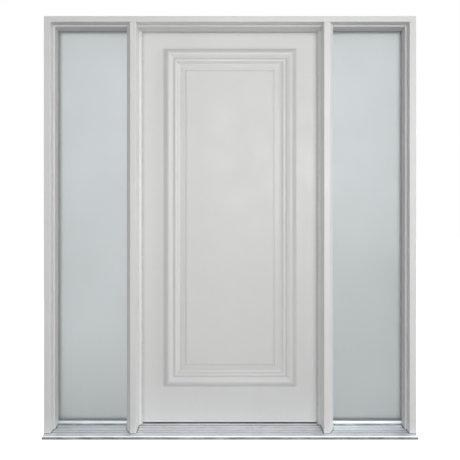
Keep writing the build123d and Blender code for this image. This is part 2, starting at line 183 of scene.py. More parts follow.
# %% Lay the floor
FLOOR_HALF = 60.0
FLOOR_GLOW = 0.92
METAL_SHARE = 0.6
GLASS_SHARE_NEAR = 0.27
GLASS_SHARE_FAR = 1.0
FLOOR_NEAR = 6.0
FLOOR_FAR = 17.0
floor = own_mesh(
    "floor", lambda form: bmesh.ops.create_grid(form, x_segments=2, y_segments=2, size=FLOOR_HALF),
)
floor_paper = bpy.data.materials.new("floor_paper")
floor_paper.use_nodes = True
paper = floor_paper.node_tree
paper_skin = paper.nodes["Principled BSDF"]
paper_skin.inputs["Roughness"].default_value = 0.95
paper_skin.inputs["Specular IOR Level"].default_value = 0.1
paper_skin.inputs["Emission Color"].default_value = (1.0, 1.0, 1.0, 1.0)
paper_place = paper.nodes.new("ShaderNodeTexCoord")
paper_grain = new_node(paper, "ShaderNodeTexNoise", Scale=60.0, Detail=4.0)
paper_tone = new_node(paper, "ShaderNodeMapRange", To_Min=0.62, To_Max=0.66)
link(paper, paper_place.outputs["Object"], paper_grain.inputs["Vector"])
link(paper, paper_grain.outputs["Fac"], paper_tone.inputs["Value"])
link(paper, paper_tone.outputs["Result"], paper_skin.inputs["Base Color"])

# %% Let the floor glow by who looks at it
paper_path = paper.nodes.new("ShaderNodeLightPath")
paper_along = paper.nodes.new("ShaderNodeSeparateXYZ")
link(paper, paper_place.outputs["Object"], paper_along.inputs[0])
glass_share = new_node(
    paper, "ShaderNodeMapRange", From_Min=FLOOR_NEAR, From_Max=FLOOR_FAR,
    To_Min=GLASS_SHARE_NEAR, To_Max=GLASS_SHARE_FAR,
)
link(paper, paper_along.outputs["Y"], glass_share.inputs["Value"])
metal_share = new_node(paper, "ShaderNodeMath", operation="MULTIPLY")
metal_share.inputs[1].default_value = METAL_SHARE
link(paper, paper_path.outputs["Is Glossy Ray"], metal_share.inputs[0])
paper_eye = new_node(paper, "ShaderNodeMath", operation="MAXIMUM")
link(paper, paper_path.outputs["Is Camera Ray"], paper_eye.inputs[0])
link(paper, metal_share.outputs[0], paper_eye.inputs[1])
paper_share = new_node(paper, "ShaderNodeMix")
link(paper, paper_path.outputs["Is Transmission Ray"], paper_share.inputs["Factor"])
link(paper, paper_eye.outputs[0], paper_share.inputs["A"])
link(paper, glass_share.outputs["Result"], paper_share.inputs["B"])
paper_glow = new_node(paper, "ShaderNodeMath", operation="MULTIPLY")
paper_glow.inputs[1].default_value = FLOOR_GLOW
link(paper, paper_share.outputs["Result"], paper_glow.inputs[0])
link(paper, paper_glow.outputs[0], paper_skin.inputs["Emission Strength"])
floor.data.materials.append(floor_paper)
print("floor glow", FLOOR_GLOW)


# %% [markdown]
# ## Effects that several finishes share
#
# Paint, metal, rubber and wood each have a fine relief, a slow change of tone and a rough
# or shiny patchiness. Each effect is a node group, built once, that reads Object
# coordinates in metres, so its scale is the true one on every piece. A group gives out
# only colours, masks and heights. The shader itself stays in each material.


# %% A way to start a shader group
def start_group(name, inputs, outputs):
    """A new shader group with its sockets, and its entry and result nodes."""
    tree = bpy.data.node_groups.new(name, "ShaderNodeTree")
    for label, kind, value in inputs:
        socket = tree.interface.new_socket(label, in_out="INPUT", socket_type=kind)
        socket.default_value = value
    for label, kind in outputs:
        tree.interface.new_socket(label, in_out="OUTPUT", socket_type=kind)
    return tree, tree.nodes.new("NodeGroupInput"), tree.nodes.new("NodeGroupOutput")


def noise_on(tree, vector, scale, detail=2.0, roughness=0.5):
    """A noise texture read at a vector."""
    node = new_node(tree, "ShaderNodeTexNoise", Scale=scale, Detail=detail, Roughness=roughness)
    link(tree, vector, node.inputs["Vector"])
    return node.outputs["Fac"]


def remap(tree, value, low, high, from_low=0.3, from_high=0.7):
    """Spreads a noise value over the range low to high."""
    node = new_node(
        tree, "ShaderNodeMapRange", From_Min=from_low, From_Max=from_high, To_Min=low, To_Max=high,
    )
    link(tree, value, node.inputs["Value"])
    return node.outputs["Result"]


def combine(tree, operation, first, second):
    """A math node on two outputs, or on an output and a number."""
    node = new_node(tree, "ShaderNodeMath", operation=operation)
    for socket, given in zip(node.inputs, (first, second)):
        if isinstance(given, (int, float)):
            socket.default_value = given
        else:
            link(tree, given, socket)
    return node.outputs[0]


def scaled(tree, colour, factor):
    """A colour made lighter or darker by a factor that varies over the surface."""
    node = new_node(tree, "ShaderNodeVectorMath", operation="SCALE")
    link(tree, colour, node.inputs[0])
    link(tree, factor, node.inputs["Scale"])
    return node.outputs[0]


def mixed(tree, mask, first, second):
    """One colour over another by a mask; each may be an output or a plain colour."""
    node = new_node(tree, "ShaderNodeMix", data_type="RGBA")
    link(tree, mask, node.inputs["Factor"])
    for socket, given in ((node.inputs[6], first), (node.inputs[7], second)):
        if isinstance(given, tuple):
            socket.default_value = given
        else:
            link(tree, given, socket)
    return node.outputs[2]


print("group helpers ready")

# %% [markdown]
# ### Sprayed paint
#
# Factory paint on steel and on a frame dries with orange peel: a soft relief a millimetre
# or two across. Its tone drifts by a percent or so over the width of a door, and its
# gloss by a little more. Each of these is a noise at its own scale.

# %% Group: sprayed_paint
paint_group, paint_in, paint_out = start_group(
    "sprayed_paint",
    [("Paint", "NodeSocketColor", (0.6, 0.6, 0.6, 1.0)), ("Gloss Low", "NodeSocketFloat", 0.38),
     ("Gloss High", "NodeSocketFloat", 0.5), ("Peel Scale", "NodeSocketFloat", 620.0)],
    [("Color", "NodeSocketColor"), ("Roughness", "NodeSocketFloat"), ("Height", "NodeSocketFloat")],
)
paint_at = new_node(paint_group, "ShaderNodeTexCoord").outputs["Object"]
drift = remap(paint_group, noise_on(paint_group, paint_at, 1.7), 0.985, 1.01)
cloud = remap(paint_group, noise_on(paint_group, paint_at, 23.0, 4.0), 0.992, 1.006)
paint_tone = combine(paint_group, "MULTIPLY", drift, cloud)
link(paint_group, scaled(paint_group, paint_in.outputs["Paint"], paint_tone), paint_out.inputs["Color"])
gloss = new_node(paint_group, "ShaderNodeMapRange", From_Min=0.3, From_Max=0.7)
link(paint_group, noise_on(paint_group, paint_at, 9.0, 3.0), gloss.inputs["Value"])
link(paint_group, paint_in.outputs["Gloss Low"], gloss.inputs["To Min"])
link(paint_group, paint_in.outputs["Gloss High"], gloss.inputs["To Max"])
link(paint_group, gloss.outputs["Result"], paint_out.inputs["Roughness"])
peel = new_node(paint_group, "ShaderNodeTexNoise", Detail=1.0)
link(paint_group, paint_at, peel.inputs["Vector"])
link(paint_group, paint_in.outputs["Peel Scale"], peel.inputs["Scale"])
grit = remap(paint_group, noise_on(paint_group, paint_at, 2600.0, 1.0), 0.0, 0.25)
link(paint_group, combine(paint_group, "ADD", peel.outputs["Fac"], grit), paint_out.inputs["Height"])
print(paint_group.name, "nodes", len(paint_group.nodes))

# %% [markdown]
# ### Edges: painted highlight and wear
#
# Where two faces meet, the colour is made lighter: partly thinner paint and brighter polish, partly a painted
# highlight for the light that a rounded edge catches. The Bevel node gives the normal that a rounded edge
# would have: where that differs from the true normal, there is an edge. A noise breaks the line up, so that
# it doesn't look drawn.

# %% Group: edge_sheen_and_wear
sheen_and_wear_group, sheen_and_wear_in, sheen_and_wear_out = start_group(
    "edge_sheen_and_wear",
    [("Amount", "NodeSocketFloat", 0.5)],
    [("Mask", "NodeSocketFloat")],
)
rounded = new_node(sheen_and_wear_group, "ShaderNodeBevel", samples=4, Radius=0.0016)
true_normal = new_node(sheen_and_wear_group, "ShaderNodeNewGeometry").outputs["Normal"]
agreement = new_node(sheen_and_wear_group, "ShaderNodeVectorMath", operation="DOT_PRODUCT")
link(sheen_and_wear_group, rounded.outputs["Normal"], agreement.inputs[0])
link(sheen_and_wear_group, true_normal, agreement.inputs[1])
edge = remap(sheen_and_wear_group, agreement.outputs["Value"], 1.0, 0.0, 0.86, 0.995)
rub_at = new_node(sheen_and_wear_group, "ShaderNodeTexCoord").outputs["Object"]
patchy = remap(sheen_and_wear_group, noise_on(sheen_and_wear_group, rub_at, 85.0, 4.0, 0.7), 0.1, 1.0, 0.35, 0.65)
patchy_edge = combine(sheen_and_wear_group, "MULTIPLY", edge, patchy)
link(sheen_and_wear_group, combine(sheen_and_wear_group, "MULTIPLY", patchy_edge, sheen_and_wear_in.outputs["Amount"]), sheen_and_wear_out.inputs["Mask"])
print(sheen_and_wear_group.name, "nodes", len(sheen_and_wear_group.nodes))

# %% [markdown]
# ### Settled dust
#
# Dust lies on faces that look up, and a little rain splash dries near the foot of the
# door. The mask is the upward part of the normal plus a fade over the lowest part, both
# broken up by noise.

# %% Group: settled_dust
dust_group, dust_in, dust_out = start_group(
    "settled_dust",
    [("Lying", "NodeSocketFloat", 0.3), ("Splash", "NodeSocketFloat", 0.1),
     ("Splash Top", "NodeSocketFloat", 0.35)],
    [("Mask", "NodeSocketFloat")],
)
dust_at = new_node(dust_group, "ShaderNodeTexCoord").outputs["Object"]
place_parts = new_node(dust_group, "ShaderNodeSeparateXYZ")
link(dust_group, dust_at, place_parts.inputs[0])
normal_parts = new_node(dust_group, "ShaderNodeSeparateXYZ")
link(dust_group, new_node(dust_group, "ShaderNodeNewGeometry").outputs["Normal"], normal_parts.inputs[0])
upward = remap(dust_group, normal_parts.outputs["Z"], 0.0, 1.0, 0.4, 1.0)
specks = remap(dust_group, noise_on(dust_group, dust_at, 180.0, 6.0, 0.75), 0.0, 1.0, 0.38, 0.68)
settled = combine(dust_group, "MULTIPLY", upward, specks)
lying = combine(dust_group, "MULTIPLY", settled, dust_in.outputs["Lying"])
fade = new_node(dust_group, "ShaderNodeMapRange", From_Min=0.0, To_Min=1.0, To_Max=0.0)
link(dust_group, place_parts.outputs["Z"], fade.inputs["Value"])
link(dust_group, dust_in.outputs["Splash Top"], fade.inputs["From Max"])
drops = remap(dust_group, noise_on(dust_group, dust_at, 42.0, 5.0, 0.7), 0.0, 1.0, 0.4, 0.7)
dried = combine(dust_group, "MULTIPLY", fade.outputs["Result"], drops)
splash = combine(dust_group, "MULTIPLY", dried, dust_in.outputs["Splash"])
link(dust_group, combine(dust_group, "ADD", lying, splash), dust_out.inputs["Mask"])
print(dust_group.name, "nodes", len(dust_group.nodes))

# %% [markdown]
# ### Painted crevice shade
#
# Shade is painted into the colour where a point is shut in: in the sill's grooves and in the quirks of the
# moulding. Ambient Occlusion measures how shut in a point is, within a few millimetres.

# %% Group: crevice_shade
crevice_shade_group, crevice_shade_in, crevice_shade_out = start_group(
    "crevice_shade",
    [("Reach", "NodeSocketFloat", 0.006), ("Amount", "NodeSocketFloat", 0.5)],
    [("Mask", "NodeSocketFloat")],
)
shut_in = new_node(crevice_shade_group, "ShaderNodeAmbientOcclusion", samples=6)
link(crevice_shade_group, crevice_shade_in.outputs["Reach"], shut_in.inputs["Distance"])
hollow = remap(crevice_shade_group, shut_in.outputs["AO"], 1.0, 0.0, 0.25, 0.85)
shut_mask = combine(crevice_shade_group, "MULTIPLY", hollow, crevice_shade_in.outputs["Amount"])
link(crevice_shade_group, shut_mask, crevice_shade_out.inputs["Mask"])
print(crevice_shade_group.name, "nodes", len(crevice_shade_group.nodes))

# %% [markdown]
# ### Drawn metal
#
# Extruded aluminium keeps the fine lines of its die along its whole length. Stretching the
# coordinates strongly along one axis turns an ordinary noise into such lines. The group
# takes the stretch, so the sill can be lined along X and a hinge pin along Z.

# %% Group: drawn_metal
metal_group, metal_in, metal_out = start_group(
    "drawn_metal",
    [("Metal", "NodeSocketColor", (0.7, 0.7, 0.7, 1.0)), ("Stretch", "NodeSocketVector", (2.0, 900.0, 900.0)),
     ("Polish", "NodeSocketFloat", 0.3)],
    [("Color", "NodeSocketColor"), ("Roughness", "NodeSocketFloat"), ("Height", "NodeSocketFloat")],
)
metal_at = new_node(metal_group, "ShaderNodeTexCoord").outputs["Object"]
along = new_node(metal_group, "ShaderNodeVectorMath", operation="MULTIPLY")
link(metal_group, metal_at, along.inputs[0])
link(metal_group, metal_in.outputs["Stretch"], along.inputs[1])
die_lines = noise_on(metal_group, along.outputs[0], 1.0, 3.0, 0.7)
handled = noise_on(metal_group, metal_at, 17.0, 5.0, 0.6)
line_tone = remap(metal_group, die_lines, 0.9, 1.05)
smudge_tone = remap(metal_group, handled, 0.93, 1.04)
metal_tone = combine(metal_group, "MULTIPLY", line_tone, smudge_tone)
link(metal_group, scaled(metal_group, metal_in.outputs["Metal"], metal_tone), metal_out.inputs["Color"])
line_rough = remap(metal_group, die_lines, -0.05, 0.08)
smudge_rough = remap(metal_group, handled, -0.04, 0.1)
uneven_rough = combine(metal_group, "ADD", line_rough, smudge_rough)
metal_rough = combine(metal_group, "ADD", uneven_rough, metal_in.outputs["Polish"])
link(metal_group, metal_rough, metal_out.inputs["Roughness"])
link(metal_group, die_lines, metal_out.inputs["Height"])
print(metal_group.name, "nodes", len(metal_group.nodes))

# %% [markdown]
# ### Moulded rubber
#
# Gaskets, seals and the leaf's sweep are moulded or extruded rubber: matt, with a powdery
# bloom in patches and a fine pitting.

# %% Group: rubber_skin
rubber_group, rubber_in, rubber_out = start_group(
    "rubber_skin",
    [("Rubber", "NodeSocketColor", (0.1, 0.1, 0.1, 1.0))],
    [("Color", "NodeSocketColor"), ("Roughness", "NodeSocketFloat"), ("Height", "NodeSocketFloat")],
)
rubber_at = new_node(rubber_group, "ShaderNodeTexCoord").outputs["Object"]
bloom = remap(rubber_group, noise_on(rubber_group, rubber_at, 60.0, 5.0, 0.7), 0.88, 1.14)
link(rubber_group, scaled(rubber_group, rubber_in.outputs["Rubber"], bloom), rubber_out.inputs["Color"])
rubber_rough = remap(rubber_group, noise_on(rubber_group, rubber_at, 130.0, 3.0), 0.62, 0.85)
link(rubber_group, rubber_rough, rubber_out.inputs["Roughness"])
link(rubber_group, noise_on(rubber_group, rubber_at, 1800.0, 2.0), rubber_out.inputs["Height"])
print(rubber_group.name, "nodes", len(rubber_group.nodes))

# %% [markdown]
# ### Sawn wood
#
# The leaf's edges are bare wood, and the sill sits on a darker board. Grain is a set
# of long rings cut lengthways: a wave texture, bent by noise and stretched along the
# board, with short dark pores over it.

# %% Group: sawn_wood
wood_group, wood_in, wood_out = start_group(
    "sawn_wood",
    [("Early Wood", "NodeSocketColor", (0.5, 0.35, 0.2, 1.0)),
     ("Late Wood", "NodeSocketColor", (0.3, 0.18, 0.08, 1.0)),
     ("Stretch", "NodeSocketVector", (1.0, 1.0, 0.06))],
    [("Color", "NodeSocketColor"), ("Roughness", "NodeSocketFloat"), ("Height", "NodeSocketFloat")],
)
wood_at = new_node(wood_group, "ShaderNodeTexCoord").outputs["Object"]
board = new_node(wood_group, "ShaderNodeVectorMath", operation="MULTIPLY")
link(wood_group, wood_at, board.inputs[0])
link(wood_group, wood_in.outputs["Stretch"], board.inputs[1])
rings = new_node(
    wood_group, "ShaderNodeTexWave", wave_type="RINGS", rings_direction="SPHERICAL",
    Scale=38.0, Distortion=5.0, Detail=4.0, Detail_Scale=2.0,
)
link(wood_group, board.outputs[0], rings.inputs["Vector"])
pores = noise_on(wood_group, board.outputs[0], 900.0, 2.0, 0.6)
pore_dark = remap(wood_group, pores, 0.86, 1.04, 0.35, 0.6)
grain_colour = mixed(
    wood_group, rings.outputs["Fac"], wood_in.outputs["Early Wood"], wood_in.outputs["Late Wood"],
)
link(wood_group, scaled(wood_group, grain_colour, pore_dark), wood_out.inputs["Color"])
link(wood_group, remap(wood_group, pores, 0.85, 0.6), wood_out.inputs["Roughness"])
link(wood_group, combine(wood_group, "ADD", rings.outputs["Fac"], pores), wood_out.inputs["Height"])
print(wood_group.name, "nodes", len(wood_group.nodes))

# %% [markdown]
# ## Finishes
#
# Each finish is one material with its own shader. The groups give it colour, roughness
# and relief; what is the same all over is set on the shader's own sockets.


# %% Helpers for a finish
def start_finish(name, **plain):
    """A new material, its node tree, and its shader with plain values set."""
    material = bpy.data.materials.new(name)
    material.use_nodes = True
    tree = material.node_tree
    skin = tree.nodes["Principled BSDF"]
    for key, value in plain.items():
        skin.inputs[key.replace("_", " ")].default_value = value
    return material, tree, skin


def use_group(tree, group, **values):
    """A shader group placed in a material with its own values."""
    node = tree.nodes.new("ShaderNodeGroup")
    node.node_tree = group
    for key, value in values.items():
        node.inputs[key.replace("_", " ")].default_value = value
    return node


def raise_relief(tree, height, skin, distance, strength=1.0):
    """Turns a height into the shader's normal; distance is the real depth in metres."""
    bump = new_node(tree, "ShaderNodeBump", Strength=strength, Distance=distance)
    link(tree, height, bump.inputs["Height"])
    link(tree, bump.outputs["Normal"], skin.inputs["Normal"])


def finish_nodes(material, *names):
    """Gives a finish to CAD nodes, in the material slots that they came with."""
    for name in names:
        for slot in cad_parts[name].material_slots:
            slot.material = material
    print(f"{material.name}: {', '.join(names)}")


# %% [markdown]
# ### The three paints
#
# Frame, leaf and moulding are sprayed in the same pale grey, but on different stuff: the
# frame is smooth, the leaf is sheet steel with the clearest orange peel, and the moulding
# is formed, with a slightly satin look. One function mixes all three from the same groups.


# %% Mix a paint
THIN_PAINT_AND_SHEEN = (0.80, 0.80, 0.79, 1.0)
PAINT_DUST = (0.42, 0.40, 0.36, 1.0)
PAINT_SHADE = (0.24, 0.24, 0.235, 1.0)
PAINT_LYING = 0.35
SPLASH_TOP = 0.42


def painted(name, paint, gloss, peel_scale, peel_depth, sheen_and_wear_share, splash, crevice_shade):
    """A sprayed paint; gloss is its lowest and highest roughness, sheen_and_wear_share how much lighter paint
    its edges take as painted highlight and wear, crevice_shade the reach and amount of the shade painted into
    its crevices.
    """
    material, tree, skin = start_finish(name, Specular_IOR_Level=0.42)
    coat = use_group(
        tree, paint_group, Paint=paint, Gloss_Low=gloss[0], Gloss_High=gloss[1], Peel_Scale=peel_scale,
    )
    sheen_and_wear = use_group(tree, sheen_and_wear_group, Amount=sheen_and_wear_share)
    dust = use_group(tree, dust_group, Lying=PAINT_LYING, Splash=splash, Splash_Top=SPLASH_TOP)
    # Painted highlight and wear: edges are made lighter than the paint.
    over_edges = mixed(tree, sheen_and_wear.outputs["Mask"], coat.outputs["Color"], THIN_PAINT_AND_SHEEN)
    dusted = mixed(tree, dust.outputs["Mask"], over_edges, PAINT_DUST)
    # Painted shade: colour in crevices is darkened to a grey, as if shade fell there.
    shut = use_group(tree, crevice_shade_group, Reach=crevice_shade[0], Amount=crevice_shade[1])
    link(tree, mixed(tree, shut.outputs["Mask"], dusted, PAINT_SHADE), skin.inputs["Base Color"])
    matt_dust = remap(tree, dust.outputs["Mask"], 0.0, 0.25, 0.0, 0.5)
    link(tree, combine(tree, "ADD", coat.outputs["Roughness"], matt_dust), skin.inputs["Roughness"])
    raise_relief(tree, coat.outputs["Height"], skin, peel_depth, 0.6)
    return material


PALE_GREY = (0.655, 0.655, 0.650, 1.0)
frame_paint = painted(
    "frame_paint", PALE_GREY, gloss=(0.34, 0.46), peel_scale=540.0, peel_depth=0.00008,
    sheen_and_wear_share=0.2, splash=0.06, crevice_shade=(0.008, 0.12),
)
leaf_paint = painted(
    "leaf_paint", PALE_GREY, gloss=(0.38, 0.52), peel_scale=380.0, peel_depth=0.00012,
    sheen_and_wear_share=0.15, splash=0.06, crevice_shade=(0.012, 0.2),
)
# The moulding takes the strongest painted crevice shade, which draws the shade lines in its quirks.
moulding_paint = painted(
    "moulding_paint", PALE_GREY, gloss=(0.32, 0.42), peel_scale=700.0, peel_depth=0.00005,
    sheen_and_wear_share=0.25, splash=0.04, crevice_shade=(0.014, 0.7),
)
finish_nodes(
    frame_paint, "head", "jamb_left", "jamb_right", "mullion_left", "mullion_right",
    "bead_sides_left", "bead_sides_right", "bead_ends_left", "bead_ends_right",
)
finish_nodes(leaf_paint, "skin_outer", "skin_inner", "panel_outer", "panel_inner")
finish_nodes(moulding_paint, "moulding_outer", "moulding_inner")

# %% [markdown]
# ### Mill aluminium
#
# The sill is one extrusion left as it came from the die: bright, with fine lines along its length, and duller
# where feet and rain have been. Shade is painted dark into its grooves, broken into dashes as long as a
# finger, and the face of its nose is painted dark as a painted reflection of shade; the foot of each side
# light's rail is painted dark as shadow the same way. The cap under the leaf and the spacer bars between the
# panes are the same metal with other lines, and the hinges are brushed steel from the same function.


# %% Draw a metal
EDGE_POLISH_AND_SHEEN = (0.93, 0.94, 0.95, 1.0)
METAL_DUST = (0.40, 0.39, 0.36, 1.0)
GROOVE_SHADE = (0.012, 0.014, 0.016, 1.0)
LOW_FRONT_SHADE = (0.09, 0.105, 0.115, 1.0)
DASH_STRETCH = (14.0, 60.0, 60.0)
SHADE_FADE = 0.0008


def metal(name, colour, stretch, polish, line_depth, sheen_and_wear_share, lying, crevice_shade, shaded_below=-1.0):
    """A bare metal with drawn lines; sheen_and_wear_share brightens its edges as painted highlight and some
    polish, lying is its dust, crevice_shade the reach and amount of the shade painted into its crevices.
    Faces that look to the front below shaded_below are painted dark as shade, and by default none are."""
    material, tree, skin = start_finish(name, Metallic=1.0)
    drawn = use_group(tree, metal_group, Metal=colour, Stretch=stretch, Polish=polish)
    sheen_and_wear = use_group(tree, sheen_and_wear_group, Amount=sheen_and_wear_share)
    dust = use_group(tree, dust_group, Lying=lying, Splash=0.0, Splash_Top=0.1)
    # Painted highlight: edges are made brighter than the metal.
    bright = mixed(tree, sheen_and_wear.outputs["Mask"], drawn.outputs["Color"], EDGE_POLISH_AND_SHEEN)
    dusted = mixed(tree, dust.outputs["Mask"], bright, METAL_DUST)
    at = new_node(tree, "ShaderNodeTexCoord").outputs["Object"]
    dashes = new_node(tree, "ShaderNodeVectorMath", operation="MULTIPLY")
    dashes.inputs[1].default_value = DASH_STRETCH
    link(tree, at, dashes.inputs[0])
    dash_breakup = remap(tree, noise_on(tree, dashes.outputs[0], 1.0, 4.0, 0.65), 0.55, 1.0)
    # Painted shade: crevices are darkened almost to black, broken into long dashes.
    shut = use_group(tree, crevice_shade_group, Reach=crevice_shade[0], Amount=crevice_shade[1])
    shaded_crevices = combine(tree, "MULTIPLY", shut.outputs["Mask"], dash_breakup)
    grooved = mixed(tree, shaded_crevices, dusted, GROOVE_SHADE)
    height = new_node(tree, "ShaderNodeSeparateXYZ")
    link(tree, at, height.inputs[0])
    way = new_node(tree, "ShaderNodeSeparateXYZ")
    link(tree, new_node(tree, "ShaderNodeNewGeometry").outputs["Normal"], way.inputs[0])
    # Painted shade: faces that look to the front below a height are darkened, the sill nose's dark reflection
    # and the shadow along the rails' foot.
    front = remap(tree, way.outputs["Y"], 1.0, 0.0, -0.97, -0.8)
    low = remap(tree, height.outputs["Z"], 1.0, 0.0, shaded_below - SHADE_FADE, shaded_below)
    front_shade = combine(tree, "MULTIPLY", combine(tree, "MULTIPLY", front, low), dash_breakup)
    link(tree, mixed(tree, front_shade, grooved, LOW_FRONT_SHADE), skin.inputs["Base Color"])
    matt_dust = remap(tree, dust.outputs["Mask"], 0.0, 0.35, 0.0, 0.5)
    link(tree, combine(tree, "ADD", drawn.outputs["Roughness"], matt_dust), skin.inputs["Roughness"])
    raise_relief(tree, drawn.outputs["Height"], skin, line_depth, 0.7)
    return material


ALONG_SILL = (3.0, 1400.0, 1400.0)
ALONG_CAP = (3.0, 1100.0, 1100.0)
ALONG_PIN = (900.0, 900.0, 12.0)
EVEN_GRAIN = (260.0, 260.0, 260.0)
# The sill takes a strong painted highlight on its edges, the white line along its nose.
sill_metal = metal(
    "sill_metal", (0.87, 0.905, 0.94, 1.0), ALONG_SILL, polish=0.40, line_depth=0.00006,
    sheen_and_wear_share=0.9, lying=0.08, crevice_shade=(0.010, 2.6), shaded_below=0.0128,
)
# The rail's front is painted dark as shadow below its middle.
rail_metal = metal(
    "rail_metal", (0.76, 0.80, 0.84, 1.0), ALONG_SILL, polish=0.42, line_depth=0.00006,
    sheen_and_wear_share=0.5, lying=0.1, crevice_shade=(0.006, 1.0), shaded_below=0.034,
)
cap_metal = metal(
    "cap_metal", (0.70, 0.72, 0.74, 1.0), ALONG_CAP, polish=0.36, line_depth=0.00005,
    sheen_and_wear_share=0.4, lying=0.15, crevice_shade=(0.004, 0.2),
)
spacer_metal = metal(
    "spacer_metal", (0.60, 0.62, 0.64, 1.0), EVEN_GRAIN, polish=0.42, line_depth=0.00004,
    sheen_and_wear_share=0.2, lying=0.0, crevice_shade=(0.004, 0.2),
)
hinge_steel = metal(
    "hinge_steel", (0.60, 0.59, 0.57, 1.0), ALONG_PIN, polish=0.28, line_depth=0.00004,
    sheen_and_wear_share=0.6, lying=0.15, crevice_shade=(0.004, 0.4),
)
finish_nodes(sill_metal, "sill")
finish_nodes(rail_metal, "light_rail_left", "light_rail_right")
finish_nodes(cap_metal, "threshold_cap")
finish_nodes(spacer_metal, "spacer_left", "spacer_right")
finish_nodes(
    hinge_steel, "hinge_pins", "hinge_top_frame", "hinge_middle_frame", "hinge_bottom_frame",
    "hinge_top_leaf", "hinge_middle_leaf", "hinge_bottom_leaf",
)

# %% [markdown]
# ### Rubber
#
# The glass is held by a dark gasket, the leaf closes on a pale grey seal in the rabbet, and
# a black sweep brushes the cap below. All three are the same group in three shades.


# %% Mould a rubber
RUBBER_DUST = (0.36, 0.35, 0.32, 1.0)
PITTING = 0.00006


def rubber(name, colour, lying):
    """A matt rubber of one shade with some dust on it."""
    material, tree, skin = start_finish(name, Specular_IOR_Level=0.3)
    moulded = use_group(tree, rubber_group, Rubber=colour)
    dust = use_group(tree, dust_group, Lying=lying, Splash=0.1, Splash_Top=0.1)
    dusted = mixed(tree, dust.outputs["Mask"], moulded.outputs["Color"], RUBBER_DUST)
    link(tree, dusted, skin.inputs["Base Color"])
    link(tree, moulded.outputs["Roughness"], skin.inputs["Roughness"])
    raise_relief(tree, moulded.outputs["Height"], skin, PITTING)
    return material


gasket_rubber = rubber("gasket_rubber", (0.26, 0.27, 0.275, 1.0), 0.1)
seal_rubber = rubber("seal_rubber", (0.56, 0.57, 0.57, 1.0), 0.1)
sweep_rubber = rubber("sweep_rubber", (0.035, 0.035, 0.036, 1.0), 0.2)
finish_nodes(gasket_rubber, "gasket_left", "gasket_right")
finish_nodes(seal_rubber, "seal_left", "seal_right", "seal_head")
finish_nodes(sweep_rubber, "bottom_sweep")

# %% [markdown]
# ### Wood and foam
#
# The leaf's two upright edges and its rails are bare softwood, and the base under the sill
# is a darker board. The core is rigid yellow foam, which nobody sees until the
# door is cut, but it still gets its cells.


# %% Saw the wood
def wood(name, early, late, stretch, pore_depth):
    """A sawn board; stretch is smallest along the grain."""
    material, tree, skin = start_finish(name, Specular_IOR_Level=0.3)
    sawn = use_group(tree, wood_group, Early_Wood=early, Late_Wood=late, Stretch=stretch)
    sheen_and_wear = use_group(tree, sheen_and_wear_group, Amount=0.4)
    # Painted highlight and wear: edges take the lighter early-wood colour.
    link(tree, mixed(tree, sheen_and_wear.outputs["Mask"], sawn.outputs["Color"], early), skin.inputs["Base Color"])
    link(tree, sawn.outputs["Roughness"], skin.inputs["Roughness"])
    raise_relief(tree, sawn.outputs["Height"], skin, pore_depth)
    return material


PINE_EARLY = (0.56, 0.37, 0.19, 1.0)
PINE_LATE = (0.40, 0.23, 0.10, 1.0)
UPRIGHT = (1.0, 1.0, 0.05)
LEVEL = (0.05, 1.0, 1.0)
stile_wood = wood("stile_wood", PINE_EARLY, PINE_LATE, UPRIGHT, pore_depth=0.00025)
rail_wood = wood("rail_wood", PINE_EARLY, PINE_LATE, LEVEL, pore_depth=0.00025)
sill_wood = wood(
    "sill_wood", (0.30, 0.20, 0.11, 1.0), (0.20, 0.12, 0.06, 1.0), LEVEL, pore_depth=0.0003,
)
finish_nodes(stile_wood, "stile_hinge", "stile_lock")
finish_nodes(rail_wood, "rail_top", "rail_bottom")
finish_nodes(sill_wood, "sill_base")

# %% Foam the core
CELL_SCALE = 700.0
CELL_DEPTH = 0.0004
core_foam, foam, foam_skin = start_finish("core_foam", Specular_IOR_Level=0.2)
foam_at = new_node(foam, "ShaderNodeTexCoord").outputs["Object"]
cells = new_node(foam, "ShaderNodeTexVoronoi", Scale=CELL_SCALE)
link(foam, foam_at, cells.inputs["Vector"])
foam_tone = remap(foam, cells.outputs["Distance"], 1.05, 0.75, 0.0, 0.8)
foam_colour = mixed(
    foam, noise_on(foam, foam_at, 30.0, 4.0), (0.62, 0.50, 0.28, 1.0), (0.74, 0.64, 0.40, 1.0),
)
link(foam, scaled(foam, foam_colour, foam_tone), foam_skin.inputs["Base Color"])
link(foam, remap(foam, cells.outputs["Distance"], 0.7, 0.95, 0.0, 0.8), foam_skin.inputs["Roughness"])
raise_relief(foam, cells.outputs["Distance"], foam_skin, CELL_DEPTH)
finish_nodes(core_foam, "core")

# %% [markdown]
# ### Frosted and clear glass
#
# Each side light is a sealed pair of panes. The outer one is etched: light goes through it
# and spreads, so the room behind shows only as a soft change of tone, bright above the
# horizon and duller where the floor lies behind the pane. The inner one is smooth. Both
# have the faint blue-green of float glass. The etch is never quite even, so its roughness
# and its fine relief both come from noise.


# %% Etch the outer pane, polish the inner one
def glass(name, tint, rough_low, rough_high, speckle_scale, speckle_depth):
    """A pane; the two roughness values are its smoothest and roughest patches."""
    material, tree, skin = start_finish(name, Transmission_Weight=1.0, IOR=1.45)
    at = new_node(tree, "ShaderNodeTexCoord").outputs["Object"]
    even = remap(tree, noise_on(tree, at, 5.0, 3.0), 0.985, 1.01)
    plain_tint = new_node(tree, "ShaderNodeVectorMath", operation="SCALE")
    plain_tint.inputs[0].default_value = tint
    link(tree, even, plain_tint.inputs["Scale"])
    link(tree, plain_tint.outputs[0], skin.inputs["Base Color"])
    patches = noise_on(tree, at, 30.0, 5.0, 0.7)
    link(tree, remap(tree, patches, rough_low, rough_high), skin.inputs["Roughness"])
    raise_relief(tree, noise_on(tree, at, speckle_scale, 2.0), skin, speckle_depth, 0.4)
    return material


